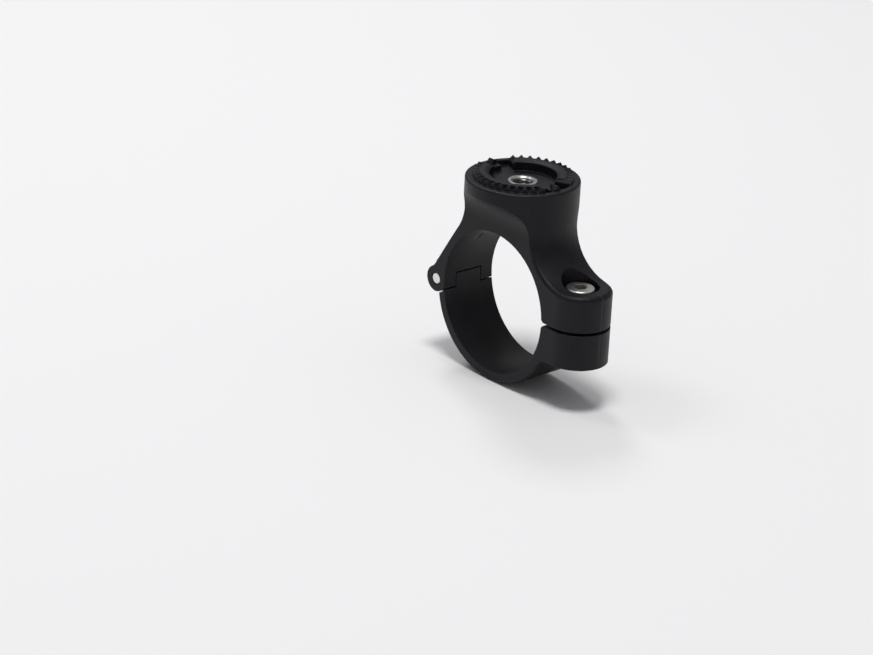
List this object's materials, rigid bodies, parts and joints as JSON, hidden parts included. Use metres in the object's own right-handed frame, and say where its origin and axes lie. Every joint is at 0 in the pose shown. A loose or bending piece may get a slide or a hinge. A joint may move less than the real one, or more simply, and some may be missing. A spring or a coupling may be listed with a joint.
{
  "type": "bike phone mount",
  "caption": "Hinged handlebar clamp with a toothed round face and threaded insert that carries a phone holder.",
  "frame": {"origin": "centre of the handlebar bore, in the middle of the clamp's width", "axes": "+Y along the handlebar, +Z towards the toothed mount face, +X towards the clamp screw"},
  "size_m": [0.0535, 0.0276, 0.0516],
  "materials": {
    "black_nylon": "black glass-filled nylon with a fine moulded grain",
    "pin_steel": "plain stainless pin",
    "screw_steel": "stainless, turned",
    "insert_steel": "stainless, bright turned",
    "insert_brass": "plain brass"
  },
  "bodies": {
    "clamp": {"upper_clamp": "black_nylon", "mount_insert": "insert_steel", "hinge_pin": "pin_steel"},
    "jaw": {"lower_jaw": "black_nylon", "jaw_insert": "insert_brass"},
    "washer": {"screw_washer": "screw_steel"},
    "screw": {"clamp_screw": "screw_steel"}
  },
  "joints": [
    {"name": "jaw_hinge", "type": "hinge", "parent": "clamp", "child": "jaw", "pos_m": [-0.0206, 0, -0.0006], "axis": [0, 1, 0], "range_deg": [0, 110]},
    {"name": "screw_lift", "type": "slide", "parent": "clamp", "child": "washer", "axis": [0, 0, 1], "range_m": [0, 0.0119]},
    {"name": "screw_turn", "type": "hinge", "parent": "washer", "child": "screw", "pos_m": [0.022, 0, 0.0075], "axis": [0, 0, 1], "range_deg": [0, 6121]}
  ],
  "couplings": [
    {"joint": "screw_turn", "follows": "screw_lift", "rad_per_m": 8976}
  ]
}
